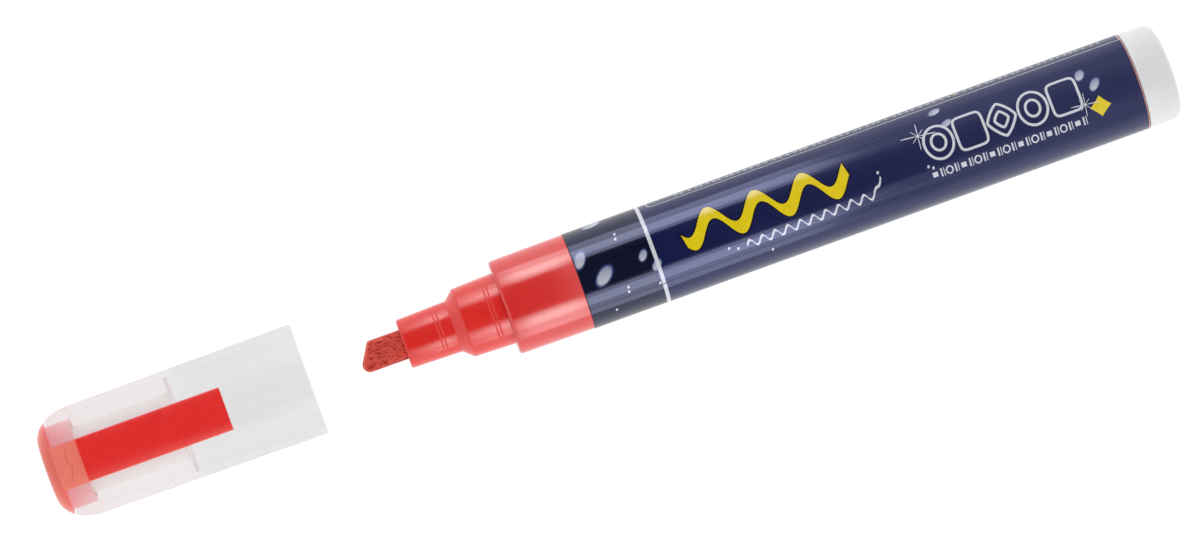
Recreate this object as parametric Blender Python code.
"""Valve-action chisel marker, lying along X with its cap drawn off in line with the barrel.

The nib points to -X and the closed tail to +X.  Lengths along the pen are measured from the
front edge of the label (the datum), where the collar meets the barrel.  Lengths inside the
cap are measured from its closed end.  The lowest point, the rim of the cap's mouth, is at
Z = 0, and the origin is midway between the cap's closed end and the tail.
"""
import math

import bmesh
import bpy
from mathutils import Matrix, Vector

MM = 0.001

# Clearances
FIT_GAP = 0.3 * MM        # between pieces that seat on or press into each other
FILM_GAP = 0.2 * MM       # between the label film and the barrel
SLIDE_GAP = 0.3 * MM      # round what slides: nib, valve rod, gasket

# Barrel and label
BARREL_LENGTH = 99.7 * MM
BARREL_RADIUS = 7.9 * MM
BARREL_WALL = 1.3 * MM
BARREL_END_WALL = 1.6 * MM
TAIL_LENGTH = 5.7 * MM          # bare barrel behind the label
TAIL_EDGE_RADIUS = 1.7 * MM
LABEL_THICKNESS = 0.15 * MM
LABEL_STAND_OUT = 0.05 * MM     # how far the film stands above the bare tail

# Collar, pressed into the barrel's mouth
COLLAR_LENGTH = 12.5 * MM
COLLAR_STEP_DOWN = 0.025 * MM   # the collar's rear is this much slimmer than the tail
COLLAR_TAPER = 0.1 * MM         # radius lost from its rear to its front
COLLAR_EDGE_RADIUS = 0.5 * MM
COLLAR_SEAT_WALL = 2.0 * MM     # solid ring that the nib holder bottoms on
SPIGOT_LENGTH = 8.0 * MM
SPIGOT_WALL = 1.0 * MM

# Nib holder: slim sleeve, cone and step, its root inside the collar
STEP_LENGTH = 6.9 * MM
STEP_RADIUS = 5.925 * MM
STEP_TAPER = 0.225 * MM
CONE_LENGTH = 1.6 * MM
SLEEVE_LENGTH = 8.4 * MM
SLEEVE_WALL = 1.325 * MM
SLEEVE_TAPER = 0.2 * MM
SLEEVE_EDGE_RADIUS = 0.35 * MM
HOLDER_WALL = 1.7 * MM
HOLDER_BORE_LENGTH = 13.4 * MM

# Nib: a round felt rod with a wedge-shaped, slanted end
NIB_RADIUS = 2.425 * MM
NIB_LENGTH = 28.0 * MM
NIB_PROTRUSION = 7.3 * MM
NIB_END_THICKNESS = 1.5 * MM
NIB_SLANT = math.radians(31.0)
NIB_CORNER_RADIUS = 1.2 * MM
NIB_WEDGE_SETBACK = 0.5 * MM    # the wedge starts this far in front of the sleeve
NIB_TRAVEL = 1.5 * MM           # how far the nib is pushed in to open the valve

# Valve
HOUSING_WALL = 1.0 * MM
HOUSING_FLANGE = 1.2 * MM
SEAT_SETBACK = 1.7 * MM         # from the housing's front face to the seat
SEAT_THICKNESS = 1.5 * MM
ROD_RADIUS = 1.1 * MM
FLOW_GAP = 0.5 * MM             # ink passage round the rod
GASKET_THICKNESS = 0.8 * MM
HEAD_THICKNESS = 1.7 * MM
HEAD_CLEARANCE = 0.8 * MM
STEM_RADIUS = 1.2 * MM
SPRING_LENGTH = 9.0 * MM
SPRING_RADIUS = 2.4 * MM        # to the middle of the wire
SPRING_WIRE_RADIUS = 0.3 * MM
SPRING_TURNS = 7
SPRING_END_PITCH = 0.75 * MM
RETAINER_LENGTH = 2.0 * MM
WINDOW_WIDTH = 3.0 * MM
WINDOW_MARGIN = 0.8 * MM

# Mixing ball
BALL_RADIUS = 3.0 * MM

# Cap
CAP_REST_GAP = 45.4 * MM        # from the cap's mouth to the label when the cap is off
CAP_CLEARANCE = 0.285 * MM      # between the cap's mouth and the collar
CAP_WALL = 1.0 * MM
CAP_TAPER = 0.26 * MM
CAP_SHOULDER = 6.2 * MM         # length of the rounded closed end
CAP_END_DROP = 4.3 * MM         # radius lost over that rounding
CAP_END_THICKNESS = 1.75 * MM   # coloured end disc
CAP_SHELL_LIP = 0.6 * MM        # shell thickness where it meets the disc
PLUG_SKIRT = 0.7 * MM
SEAL_FLOOR = 5.7 * MM           # from the closed end to the floor of the inner seal
SEAL_FLOOR_THICKNESS = 1.1 * MM
SEAL_TIP_ROOM = 1.25 * MM       # air in front of the nib's tip when closed
SEAL_CLEARANCE = 0.25 * MM
SEAL_WALL = 1.0 * MM
SEAL_RIM_SETBACK = 0.75 * MM    # rim stops this far short of the cone when closed
STRIP_WIDTH = 7.1 * MM
STRIP_END = 30.0 * MM           # from the closed end to the strip's square end
REST_HOLLOW = 0.03 * MM         # dip along the underside, so the cap rests on two lines

# Mesh resolution
SIDES = 32                      # of the large round pieces, with a flat underneath
FINE_SIDES = 24                 # of the small ones inside
ARC_STEPS = 4
END_STEPS = 6

# Derived sizes of the pen
label_length = BARREL_LENGTH - TAIL_LENGTH
label_radius = BARREL_RADIUS + LABEL_STAND_OUT
label_seat_radius = label_radius - LABEL_THICKNESS - FILM_GAP
bore_radius = BARREL_RADIUS - BARREL_WALL

collar_rear_radius = BARREL_RADIUS - COLLAR_STEP_DOWN
collar_front_radius = collar_rear_radius - COLLAR_TAPER
collar_wall = collar_front_radius - STEP_RADIUS - FIT_GAP
collar_edge_radius = min(COLLAR_EDGE_RADIUS, 0.6 * collar_wall)
spigot_radius = bore_radius - FIT_GAP
spigot_bore_radius = spigot_radius - SPIGOT_WALL
holder_socket_radius = STEP_RADIUS + FIT_GAP

nib_bore_radius = NIB_RADIUS + SLIDE_GAP
sleeve_front_radius = nib_bore_radius + SLEEVE_WALL
sleeve_rear_radius = sleeve_front_radius + SLEEVE_TAPER
step_front = -COLLAR_LENGTH - STEP_LENGTH
cone_front = step_front - CONE_LENGTH
sleeve_front = cone_front - SLEEVE_LENGTH
holder_rear = -COLLAR_SEAT_WALL - FIT_GAP
nib_tip = sleeve_front - NIB_PROTRUSION
nib_rear = nib_tip + NIB_LENGTH

housing_front = -COLLAR_SEAT_WALL + FIT_GAP
housing_radius = spigot_bore_radius - FIT_GAP
chamber_radius = housing_radius - HOUSING_WALL
seat_front = housing_front + SEAT_SETBACK
seat_rear = seat_front + SEAT_THICKNESS
gasket_front = seat_rear + FIT_GAP
gasket_rear = gasket_front + GASKET_THICKNESS
head_front = gasket_rear + FIT_GAP
head_rear = head_front + HEAD_THICKNESS
head_radius = chamber_radius - HEAD_CLEARANCE
spring_front = head_rear + FIT_GAP
spring_rear = spring_front + SPRING_LENGTH
retainer_front = spring_rear + FIT_GAP
housing_rear = retainer_front + RETAINER_LENGTH
flange_front = SPIGOT_LENGTH + FIT_GAP
flange_rear = flange_front + HOUSING_FLANGE

ball_x = BARREL_LENGTH - BARREL_END_WALL - FIT_GAP - BALL_RADIUS
ball_drop = bore_radius - BALL_RADIUS - FILM_GAP

# Derived sizes of the cap, measured from its closed end
cap_length = SEAL_FLOOR + SEAL_TIP_ROOM - nib_tip
cap_mouth_radius = collar_rear_radius + CAP_CLEARANCE + CAP_WALL
cap_shoulder_radius = cap_mouth_radius - CAP_TAPER
shell_front = CAP_END_THICKNESS + FIT_GAP
seal_base_front = SEAL_FLOOR - SEAL_FLOOR_THICKNESS
seal_tube_front = SEAL_FLOOR - FILM_GAP
plug_end = seal_tube_front - FIT_GAP
recess_floor = seal_base_front - FIT_GAP
seal_bore_radius = sleeve_rear_radius + SEAL_CLEARANCE
seal_tube_radius = seal_bore_radius + SEAL_WALL
seal_rim = cap_length + cone_front - SEAL_RIM_SETBACK

# Places in the world
axis_height = cap_mouth_radius
cap_end_x = -CAP_REST_GAP - cap_length
datum_x = -(cap_end_x + BARREL_LENGTH) / 2


def clear_scene():
    """Remove every object the scene starts with."""
    for old in list(bpy.data.objects):
        bpy.data.objects.remove(old, do_unlink=True)


def finish(name, colour, roughness, metallic=0.0, alpha=1.0):
    """Make one Principled material."""
    material = bpy.data.materials.new(name)
    material.use_nodes = True
    shader = material.node_tree.nodes["Principled BSDF"]
    shader.inputs["Base Color"].default_value = (*colour, 1.0)
    shader.inputs["Roughness"].default_value = roughness
    shader.inputs["Metallic"].default_value = metallic
    shader.inputs["Alpha"].default_value = alpha
    return material


def add_object(name, mesh_builder, material, parent=None):
    """Put a bmesh into the scene as one named object, flat faces sharp, round ones smooth."""
    mesh = bpy.data.meshes.new(name)
    bmesh.ops.recalc_face_normals(mesh_builder, faces=mesh_builder.faces)
    mesh_builder.to_mesh(mesh)
    mesh_builder.free()
    if material is not None:
        mesh.materials.append(material)
    mesh.shade_smooth()
    mesh.set_sharp_from_angle(angle=math.radians(35))
    made = bpy.data.objects.new(name, mesh)
    bpy.context.scene.collection.objects.link(made)
    made.parent = parent
    return made


def add_frame(name, x):
    """Empty on the pen's axis that carries the pieces which move together."""
    frame = bpy.data.objects.new(name, None)
    frame.location = (x, 0.0, axis_height)
    bpy.context.scene.collection.objects.link(frame)
    return frame


def turned(outline, sides, hollow):
    """Spin an outline of (x, radius) points about the X axis.

    The flats lie at the stated radius, one of them facing straight down.  A hollow outline
    closes on itself; a solid one starts and ends on the axis.
    """
    stretch = 1 / math.cos(math.pi / sides)
    first_edge = Matrix.Rotation(math.pi / sides, 3, "X")
    built = bmesh.new()
    points = [built.verts.new(first_edge @ Vector((x, 0.0, -r * stretch))) for x, r in outline]
    edges = [built.edges.new(pair) for pair in zip(points, points[1:])]
    if hollow:
        edges.append(built.edges.new((points[-1], points[0])))
    bmesh.ops.spin(
        built, geom=points + edges, axis=(1.0, 0.0, 0.0), cent=(0.0, 0.0, 0.0),
        angle=2 * math.pi, steps=sides, use_merge=True,
    )
    bmesh.ops.remove_doubles(built, verts=built.verts, dist=0.0005 * MM)
    return built


def quarter_round(x, radius, size, towards):
    """Points of a rounded outer edge, from the turned surface to the end face.

    x is the end face, towards is +1 when that face looks to +X and -1 when it looks to -X.
    """
    steps = [math.pi / 2 * k / ARC_STEPS for k in range(ARC_STEPS + 1)]
    return [
        (x - towards * size * (1 - math.sin(a)), radius - size * (1 - math.cos(a)))
        for a in steps
    ]


def box(low, high):
    """Closed box between two corners."""
    built = bmesh.new()
    bmesh.ops.create_cube(built, size=1.0)
    middle = (Vector(low) + Vector(high)) / 2
    sides = Vector(high) - Vector(low)
    bmesh.ops.transform(
        built, matrix=Matrix.Translation(middle) @ Matrix.Diagonal((*sides, 1.0)),
        verts=built.verts,
    )
    return built


def cut_away(target, name, cutter_mesh, parent):
    """Subtract a hidden cutter from the target with an exact Boolean."""
    cutter = add_object(name, cutter_mesh, None, parent)
    cutter.hide_render = True
    cutter.display_type = "WIRE"
    modifier = target.modifiers.new(name, "BOOLEAN")
    modifier.operation = "DIFFERENCE"
    modifier.solver = "EXACT"
    modifier.object = cutter
    return cutter


def slice_off(built, point, normal):
    """Cut a closed bmesh with a plane, drop what lies beyond it and close the cut."""
    geometry = list(built.verts) + list(built.edges) + list(built.faces)
    bmesh.ops.bisect_plane(
        built, geom=geometry, dist=0.0001 * MM, plane_co=point, plane_no=normal,
        clear_outer=True,
    )
    rim = [edge for edge in built.edges if edge.is_boundary]
    if rim:
        bmesh.ops.contextual_create(built, geom=rim)


# Barrel group

def build_barrel(parent):
    """Ink tank: a tube moulded closed at the tail, relieved where the label lies."""
    shoulder = label_length + FILM_GAP
    inner_end = BARREL_LENGTH - BARREL_END_WALL
    outline = [(inner_end, 0.0), (inner_end, bore_radius), (0.0, bore_radius)]
    outline += [(0.0, label_seat_radius), (shoulder, label_seat_radius)]
    outline.append((shoulder, BARREL_RADIUS))
    outline += quarter_round(BARREL_LENGTH, BARREL_RADIUS, TAIL_EDGE_RADIUS, 1)
    outline.append((BARREL_LENGTH, 0.0))
    white = finish("barrel_white", (0.80, 0.81, 0.83), 0.35)
    add_object("barrel", turned(outline, SIDES, False), white, parent)


def build_label(parent):
    """Printed film shrunk round the barrel."""
    inner = label_radius - LABEL_THICKNESS
    outline = [(0.0, label_radius), (label_length, label_radius)]
    outline += [(label_length, inner), (0.0, inner)]
    navy = finish("label_navy", (0.015, 0.018, 0.07), 0.15)
    add_object("label_sleeve", turned(outline, SIDES, True), navy, parent)


def build_collar(parent, red):
    """Glossy ring between the nib holder and the barrel, with a spigot behind it."""
    rim = quarter_round(-COLLAR_LENGTH, collar_front_radius, collar_edge_radius, -1)
    outline = [(-COLLAR_LENGTH, holder_socket_radius)]
    outline += reversed(rim)
    outline += [(-FIT_GAP, collar_rear_radius), (-FIT_GAP, spigot_radius)]
    outline += [(SPIGOT_LENGTH, spigot_radius), (SPIGOT_LENGTH, spigot_bore_radius)]
    outline += [(-COLLAR_SEAT_WALL, spigot_bore_radius)]
    outline += [(-COLLAR_SEAT_WALL, holder_socket_radius)]
    add_object("front_collar", turned(outline, SIDES, True), red, parent)


def build_nib_holder(parent, red):
    """Sleeve, cone and step that grip the nib, with a wide ink cavity behind."""
    cavity_front = sleeve_front + HOLDER_BORE_LENGTH
    cavity_radius = STEP_RADIUS - HOLDER_WALL
    rim = quarter_round(sleeve_front, sleeve_front_radius, SLEEVE_EDGE_RADIUS, -1)
    outline = [(sleeve_front, nib_bore_radius)]
    outline += reversed(rim)
    outline += [(cone_front, sleeve_rear_radius), (step_front, STEP_RADIUS - STEP_TAPER)]
    outline += [(-COLLAR_LENGTH, STEP_RADIUS), (holder_rear, STEP_RADIUS)]
    outline += [(holder_rear, cavity_radius), (cavity_front, cavity_radius)]
    outline += [(cavity_front, nib_bore_radius)]
    add_object("nib_holder", turned(outline, SIDES, True), red, parent)


def build_valve_housing(parent, natural):
    """Cage with the valve seat in front and four ink windows behind its flange."""
    orifice = ROD_RADIUS + FLOW_GAP
    outline = [(housing_front, chamber_radius), (housing_front, housing_radius)]
    outline += [(flange_front, housing_radius), (flange_front, spigot_radius)]
    outline += [(flange_rear, spigot_radius), (flange_rear, housing_radius)]
    outline += [(housing_rear, housing_radius), (housing_rear, chamber_radius)]
    outline += [(seat_rear, chamber_radius), (seat_rear, orifice)]
    outline += [(seat_front, orifice), (seat_front, chamber_radius)]
    housing = add_object("valve_housing", turned(outline, FINE_SIDES, True), natural, parent)
    window_front = flange_rear + WINDOW_MARGIN
    window_rear = retainer_front - WINDOW_MARGIN
    half = WINDOW_WIDTH / 2
    reach = housing_radius * 2
    across = box((window_front, -reach, -half), (window_rear, reach, half))
    upright = box((window_front, -half, -reach), (window_rear, half, reach))
    cut_away(housing, "window_cutter_y", across, parent)
    cut_away(housing, "window_cutter_z", upright, parent)


def build_retainer(parent, natural):
    """Ring clipped into the cage behind the spring; the plunger's stem runs through it."""
    hole = STEM_RADIUS + SLIDE_GAP
    rim = chamber_radius - FIT_GAP
    outline = [(retainer_front, hole), (retainer_front, rim), (housing_rear, rim)]
    outline.append((housing_rear, hole))
    add_object("spring_retainer", turned(outline, FINE_SIDES, True), natural, parent)


def spring_height(turn):
    """Distance along the spring at a turn: closed end coils, evenly open ones between."""
    span = SPRING_LENGTH - 2 * SPRING_WIRE_RADIUS
    open_turns = SPRING_TURNS - 2
    open_pitch = (span - 2 * SPRING_END_PITCH) / open_turns
    if turn < 1:
        return turn * SPRING_END_PITCH
    if turn > SPRING_TURNS - 1:
        return span - (SPRING_TURNS - turn) * SPRING_END_PITCH
    return SPRING_END_PITCH + (turn - 1) * open_pitch


def build_spring(parent):
    """Wire wound in a helix round the plunger's stem, as a tube with flat ends."""
    steps_per_turn = 14
    wire_sides = 6
    built = bmesh.new()
    rings = []
    for step in range(SPRING_TURNS * steps_per_turn + 1):
        turn = step / steps_per_turn
        angle = 2 * math.pi * turn
        outward = Vector((0.0, math.cos(angle), math.sin(angle)))
        along = Vector((1.0, 0.0, 0.0))
        middle = outward * SPRING_RADIUS
        middle.x = spring_front + SPRING_WIRE_RADIUS + spring_height(turn)
        ring = []
        for side in range(wire_sides):
            around = 2 * math.pi * side / wire_sides
            offset = outward * math.cos(around) + along * math.sin(around)
            ring.append(built.verts.new(middle + offset * SPRING_WIRE_RADIUS))
        rings.append(ring)
    for near, far in zip(rings, rings[1:]):
        for side in range(wire_sides):
            after = (side + 1) % wire_sides
            built.faces.new((near[side], near[after], far[after], far[side]))
    built.faces.new(rings[0])
    built.faces.new(rings[-1])
    steel = finish("spring_steel", (0.55, 0.56, 0.58), 0.3, 1.0)
    add_object("valve_spring", built, steel, parent)


# Nib group

def build_nib(parent):
    """Felt rod, wedged on both broad sides, its end slanted and its leading corner rounded."""
    corner_half = (math.pi / 2 - NIB_SLANT) / 2
    centre_y = -NIB_RADIUS + NIB_CORNER_RADIUS
    centre_x = nib_tip + NIB_CORNER_RADIUS
    sharp_corner = centre_x - NIB_CORNER_RADIUS / math.tan(corner_half)
    outline = [(sharp_corner, 0.0), (sharp_corner, NIB_RADIUS)]
    outline += [(nib_rear, NIB_RADIUS), (nib_rear, 0.0)]
    built = turned(outline, FINE_SIDES, False)
    # Tangent planes round the leading corner, from the slanted end to the side.
    centre = Vector((centre_x, centre_y, 0.0))
    for step in range(ARC_STEPS):
        turn = NIB_SLANT - (NIB_SLANT + math.pi / 2) * step / ARC_STEPS
        normal = Vector((-math.cos(turn), math.sin(turn), 0.0))
        slice_off(built, centre + normal * NIB_CORNER_RADIUS, normal)
    wedge_start = sleeve_front - NIB_WEDGE_SETBACK
    drop = NIB_RADIUS - NIB_END_THICKNESS / 2
    run = wedge_start - nib_tip
    for side in (1, -1):
        normal = Vector((-drop, 0.0, side * run)).normalized()
        slice_off(built, Vector((wedge_start, 0.0, side * NIB_RADIUS)), normal)
    felt = finish("nib_felt", (0.70, 0.06, 0.04), 0.9)
    add_object("nib", built, felt, parent)


def build_plunger(parent, natural):
    """Rod that the nib pushes, valve head, and the stem that guides the spring."""
    rod_front = nib_rear + FIT_GAP
    stem_rear = retainer_front + WINDOW_MARGIN / 2
    outline = [(rod_front, 0.0), (rod_front, ROD_RADIUS), (head_front, ROD_RADIUS)]
    outline += [(head_front, head_radius), (head_rear, head_radius)]
    outline += [(head_rear, STEM_RADIUS), (stem_rear, STEM_RADIUS), (stem_rear, 0.0)]
    add_object("valve_plunger", turned(outline, FINE_SIDES, False), natural, parent)


def build_gasket(parent):
    """Rubber washer in front of the valve head."""
    hole = ROD_RADIUS + SLIDE_GAP
    outline = [(gasket_front, hole), (gasket_front, head_radius)]
    outline += [(gasket_rear, head_radius), (gasket_rear, hole)]
    rubber = finish("gasket_rubber", (0.03, 0.03, 0.03), 0.7)
    add_object("valve_gasket", turned(outline, FINE_SIDES, True), rubber, parent)


# Ball

def build_ball(parent):
    """Steel ball that stirs the ink, lying on the tank's wall at the tail end."""
    built = bmesh.new()
    bmesh.ops.create_icosphere(built, subdivisions=3, radius=BALL_RADIUS)
    steel = finish("ball_steel", (0.62, 0.63, 0.65), 0.2, 1.0)
    ball = add_object("mixing_ball", built, steel, parent)
    ball.location = (ball_x, 0.0, -ball_drop)


# Cap group, measured from the closed end

def cap_outside(depth):
    """Outer radius of the cap: a quarter ellipse at the closed end, then a slight taper."""
    if depth < CAP_SHOULDER:
        reach = (CAP_SHOULDER - depth) / CAP_SHOULDER
        rise = math.sqrt(1 - reach * reach)
        return cap_shoulder_radius - CAP_END_DROP * (1 - rise)
    along = (depth - CAP_SHOULDER) / (cap_length - CAP_SHOULDER)
    return cap_shoulder_radius + CAP_TAPER * along


def cap_inside(depth):
    """Inner radius of the shell in the open part of the cap."""
    return cap_outside(depth) - CAP_WALL


def cap_outline(start, end):
    """Outer points of the cap between two depths, crowded where it rounds off."""
    depths = [start]
    for step in range(END_STEPS + 1):
        depth = CAP_SHOULDER * (1 - math.cos(math.pi / 2 * step / END_STEPS))
        if start < depth < end:
            depths.append(depth)
    depths.append(end)
    return [(depth, cap_outside(depth)) for depth in depths]


plug_radius = cap_outside(shell_front) - CAP_SHELL_LIP - FIT_GAP
plug_socket_radius = plug_radius + FIT_GAP
recess_radius = plug_radius - PLUG_SKIRT
socket_end = SEAL_FLOOR + FIT_GAP
cavity_start = socket_end + CAP_WALL


def slot_box(start, end, width, top):
    """Cutter across the top wall of the cap only."""
    return box((start, -width / 2, 0.0), (end, width / 2, top))


def hollow_underside(built, depth):
    """Dip the middle of the flat that faces down, so that only its two edges touch a table."""
    geometry = list(built.verts) + list(built.edges) + list(built.faces)
    bmesh.ops.bisect_plane(
        built, geom=geometry, dist=0.0001 * MM, plane_co=(0.0, 0.0, 0.0),
        plane_no=(0.0, 1.0, 0.0),
    )
    for vertex in built.verts:
        if abs(vertex.co.y) < 0.001 * MM and vertex.co.z < 0.0:
            vertex.co.z += depth


def build_cap_shell(parent):
    """Translucent outer shell, slotted for the colour strip."""
    outline = cap_outline(shell_front, cap_length)
    outline += [(cap_length, cap_inside(cap_length)), (cavity_start, cap_inside(cavity_start))]
    outline += [(socket_end, plug_socket_radius), (shell_front, plug_socket_radius)]
    clear = finish("cap_clear", (0.86, 0.87, 0.90), 0.3, 0.0, 0.45)
    wall = turned(outline, SIDES, True)
    hollow_underside(wall, REST_HOLLOW)
    shell = add_object("cap_shell", wall, clear, parent)
    width = STRIP_WIDTH + 2 * FIT_GAP
    slot = slot_box(0.0, STRIP_END + FIT_GAP, width, cap_mouth_radius * 1.5)
    cut_away(shell, "shell_slot_cutter", slot, parent)


def build_cap_core(parent, red):
    """End disc, plug and colour strip, moulded as one piece inside the shell.

    The full turned form carries the strip's wall all the way round, and a C-shaped cutter
    leaves it only in the slot on top.
    """
    outline = [(0.0, 0.0)] + cap_outline(0.0, STRIP_END)
    outline += [(STRIP_END, cap_inside(STRIP_END)), (cavity_start, cap_inside(cavity_start))]
    outline += [(socket_end, plug_socket_radius), (plug_end, plug_socket_radius)]
    outline += [(plug_end, recess_radius), (recess_floor, recess_radius)]
    outline += [(recess_floor, 0.0)]
    core = add_object("cap_core", turned(outline, SIDES, False), red, parent)
    far = cap_mouth_radius * 1.5
    beyond = STRIP_END + CAP_WALL
    ring = [(CAP_END_THICKNESS, plug_radius), (CAP_END_THICKNESS, far)]
    ring += [(beyond, far), (beyond, plug_radius)]
    cutter = cut_away(core, "core_ring_cutter", turned(ring, SIDES, True), parent)
    gap = slot_box(0.0, beyond + CAP_WALL, STRIP_WIDTH, far * 2)
    cut_away(cutter, "core_slot_cutter", gap, parent)


def build_inner_seal(parent):
    """Soft cup that closes over the holder's sleeve and keeps the nib moist."""
    base_radius = recess_radius - FIT_GAP
    outline = [(seal_base_front, 0.0), (seal_base_front, base_radius)]
    outline += [(seal_tube_front, base_radius), (seal_tube_front, seal_tube_radius)]
    outline += [(seal_rim, seal_tube_radius), (seal_rim, seal_bore_radius)]
    outline += [(SEAL_FLOOR, seal_bore_radius), (SEAL_FLOOR, 0.0)]
    soft = finish("seal_soft", (0.85, 0.62, 0.60), 0.4)
    add_object("cap_inner_seal", turned(outline, SIDES, False), soft, parent)


def build_marker():
    """Build every piece of the marker."""
    clear_scene()
    barrel_frame = add_frame("barrel_frame", datum_x)
    nib_frame = add_frame("nib_frame", datum_x)
    ball_frame = add_frame("ball_frame", datum_x)
    cap_frame = add_frame("cap_frame", datum_x + cap_end_x)
    gloss_red = finish("gloss_red", (0.62, 0.04, 0.03), 0.2)
    satin_red = finish("satin_red", (0.66, 0.05, 0.035), 0.4)
    natural = finish("valve_natural", (0.75, 0.75, 0.72), 0.45)
    build_barrel(barrel_frame)
    build_label(barrel_frame)
    build_collar(barrel_frame, gloss_red)
    build_nib_holder(barrel_frame, satin_red)
    build_valve_housing(barrel_frame, natural)
    build_retainer(barrel_frame, natural)
    build_spring(barrel_frame)
    build_nib(nib_frame)
    build_plunger(nib_frame, natural)
    build_gasket(nib_frame)
    build_ball(ball_frame)
    build_cap_shell(cap_frame)
    build_cap_core(cap_frame, gloss_red)
    build_inner_seal(cap_frame)


build_marker()
